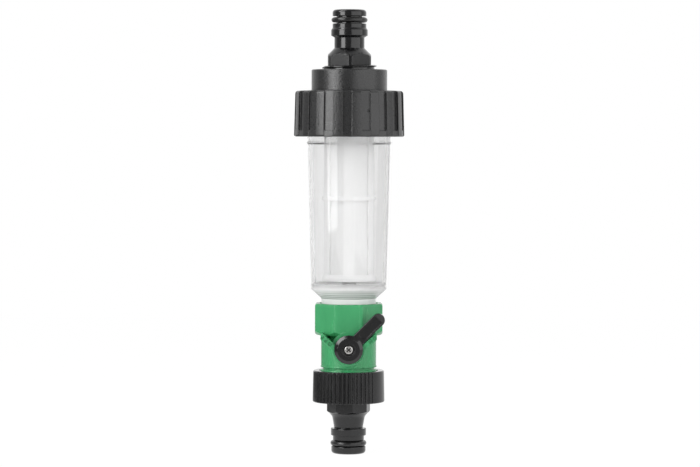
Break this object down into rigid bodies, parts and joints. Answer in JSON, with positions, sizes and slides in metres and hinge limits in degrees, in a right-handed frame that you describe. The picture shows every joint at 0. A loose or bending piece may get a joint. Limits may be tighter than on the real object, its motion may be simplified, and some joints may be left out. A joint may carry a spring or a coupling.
{
  "type": "water filter",
  "caption": "In-line garden hose filter with plug-in nipples, an ON/OFF lever valve, a clear tapered cup over a caged mesh cartridge and a ribbed union nut.",
  "frame": {"origin": "centre of the inlet nipple's open end, on the flow axis", "axes": "+Z along the flow from inlet to outlet, -Y towards the side with the lever, +X to the right seen from there"},
  "size_m": [0.0532, 0.053, 0.2139],
  "materials": {
    "black_plastic": "satin moulding",
    "black_grained_plastic": "spark-eroded grain",
    "green_plastic": "glossy moulding",
    "clear_plastic": "clear glossy moulding",
    "white_plastic": "translucent white moulding",
    "mesh_fabric": "fine woven mesh",
    "black_rubber": "smooth seal rubber",
    "seat_plastic": "slippery white seat",
    "ball_plastic": "polished ball",
    "stem_brass": "turned",
    "plated_steel": "nickel-plated"
  },
  "bodies": {
    "housing": {"inlet_adaptor": "black_plastic", "inlet_o_ring": "black_rubber", "adaptor_washer": "black_rubber", "valve_body": "green_plastic", "seat_retainer": "black_plastic", "lower_ball_seat": "seat_plastic", "upper_ball_seat": "seat_plastic", "neck_washer": "black_rubber", "clear_cup": "clear_plastic"},
    "lever": {"lever": "black_plastic", "lever_screw": "plated_steel", "valve_stem": "stem_brass", "inner_stem_o_ring": "black_rubber", "outer_stem_o_ring": "black_rubber", "valve_ball": "ball_plastic"},
    "head": {"filter_head": "black_grained_plastic", "head_seal": "black_rubber", "outlet_nipple": "black_plastic", "outlet_o_ring": "black_rubber", "cartridge_cage": "white_plastic", "cartridge_mesh": "mesh_fabric", "cage_plug": "black_rubber", "cartridge_seal": "black_rubber"},
    "nut": {"union_nut": "black_grained_plastic"}
  },
  "joints": [
    {"name": "lever_turn", "type": "hinge", "parent": "housing", "child": "lever", "pos_m": [0, 0, 0.0517], "axis": [0, -1, 0], "range_deg": [0, 90]},
    {"name": "head_lift", "type": "slide", "parent": "housing", "child": "head", "axis": [0, 0, 1], "range_m": [0, 0.012]},
    {"name": "nut_turn", "type": "hinge", "parent": "head", "child": "nut", "pos_m": [0, 0, 0.164], "axis": [0, 0, 1], "range_deg": [0, 2161]}
  ],
  "couplings": [
    {"joint": "nut_turn", "follows": "head_lift", "rad_per_m": 3141.6}
  ]
}
